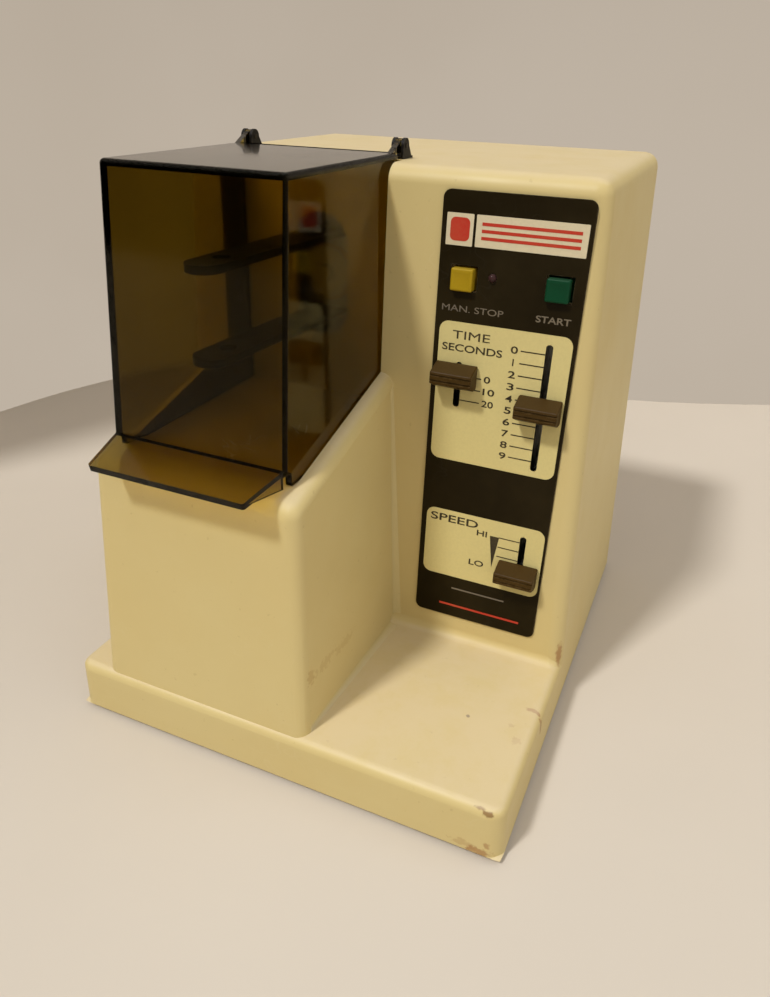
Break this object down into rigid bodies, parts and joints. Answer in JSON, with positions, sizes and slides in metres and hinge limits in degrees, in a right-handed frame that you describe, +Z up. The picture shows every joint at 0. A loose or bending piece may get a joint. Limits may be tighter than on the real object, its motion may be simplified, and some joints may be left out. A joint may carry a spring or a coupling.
{
  "type": "dental capsule mixer",
  "caption": "Bench mixer with a hinged smoked cover over a wobbling two-prong arm, and a leaning panel with push-buttons and sliders.",
  "frame": {"origin": "on the bench, under the middle of the machine's bounding box", "axes": "+Z up, +X to the right and the front with the panel faces -Y"},
  "size_m": [0.19, 0.227, 0.2278],
  "materials": {
    "cream_plastic": "satin moulded",
    "smoked_plastic": "clear smoked, polished",
    "black_plastic": "moulded",
    "brown_plastic": "moulded, semi-gloss",
    "yellow_plastic": "moulded",
    "green_plastic": "moulded",
    "red_lens": "clear tinted",
    "label_film": "printed film on a plate",
    "black_rubber": "moulded",
    "board_green": "laminate",
    "plated_steel": "zinc plated",
    "bright_steel": "ground",
    "black_steel": "blackened",
    "cast_alloy": "as cast",
    "lamination": "stacked sheet",
    "bronze": "sintered",
    "copper_winding": "enamelled wire"
  },
  "bodies": {
    "chassis": {"housing": "cream_plastic", "base_plate": "plated_steel", "foot_front_left": "black_rubber", "foot_front_right": "black_rubber", "foot_rear_left": "black_rubber", "foot_rear_right": "black_rubber", "base_screws": "plated_steel", "cord_gland": "black_plastic", "control_label": "label_film", "indicator_lens": "red_lens", "circuit_board": "board_green", "board_screws": "plated_steel", "tens_slide": "plated_steel", "units_slide": "plated_steel", "speed_slide": "plated_steel", "stop_switch": "black_plastic", "start_switch": "black_plastic", "hinge_bracket_left": "black_plastic", "hinge_bracket_right": "black_plastic", "hinge_pin_left": "bright_steel", "hinge_pin_right": "bright_steel", "motor_plate": "plated_steel", "motor_isolators": "black_rubber", "motor_screws": "plated_steel", "motor_case": "cast_alloy", "stator": "lamination", "front_bearing": "bronze", "rear_bearing": "bronze", "arm_spring_left": "bright_steel", "arm_spring_right": "bright_steel", "transformer_core": "lamination", "transformer_coil": "copper_winding"},
    "cover": {"cover": "smoked_plastic"},
    "stop_button": {"stop_button": "yellow_plastic"},
    "start_button": {"start_button": "green_plastic"},
    "tens_slider": {"tens_knob": "brown_plastic", "tens_stem": "bright_steel"},
    "units_slider": {"units_knob": "brown_plastic", "units_stem": "bright_steel"},
    "speed_slider": {"speed_knob": "brown_plastic", "speed_stem": "bright_steel"},
    "drive": {"motor_shaft": "bright_steel", "rotor": "lamination", "cooling_fan": "black_plastic", "wobble_hub": "bright_steel", "hub_screw": "plated_steel"},
    "arm": {"arm_bush": "bronze", "mixing_arm": "cast_alloy", "upper_prong": "black_steel", "lower_prong": "black_steel", "prong_screws": "plated_steel"}
  },
  "joints": [
    {"name": "cover_hinge", "type": "hinge", "parent": "chassis", "child": "cover", "pos_m": [-0.032, 0.002, 0.224], "axis": [-1, 0, 0], "range_deg": [0, 150]},
    {"name": "stop_press", "type": "slide", "parent": "chassis", "child": "stop_button", "axis": [0, 0.9993, -0.0366], "range_m": [0, 0.002], "stiffness_N_per_m": 300, "springref_m": -0.001},
    {"name": "start_press", "type": "slide", "parent": "chassis", "child": "start_button", "axis": [0, 0.9993, -0.0366], "range_m": [0, 0.002], "stiffness_N_per_m": 300, "springref_m": -0.001},
    {"name": "tens_slide_joint", "type": "slide", "parent": "chassis", "child": "tens_slider", "axis": [0, 0.0366, 0.9993], "range_m": [-0.0115, 0.0015]},
    {"name": "units_slide_joint", "type": "slide", "parent": "chassis", "child": "units_slider", "axis": [0, 0.0366, 0.9993], "range_m": [-0.024, 0.021]},
    {"name": "speed_slide_joint", "type": "slide", "parent": "chassis", "child": "speed_slider", "axis": [0, 0.0366, 0.9993], "range_m": [-0.0035, 0.013]},
    {"name": "drive_spin", "type": "hinge", "parent": "chassis", "child": "drive", "pos_m": [-0.032, 0.013, 0.1735], "axis": [0, 1, 0], "continuous": true},
    {"name": "arm_wobble", "type": "hinge", "parent": "drive", "child": "arm", "pos_m": [-0.032, 0.013, 0.1735], "axis": [0.0523, 0.9986, 0], "continuous": true}
  ],
  "couplings": [
    {"joint": "arm_wobble", "follows": "drive_spin", "ratio": -1}
  ]
}
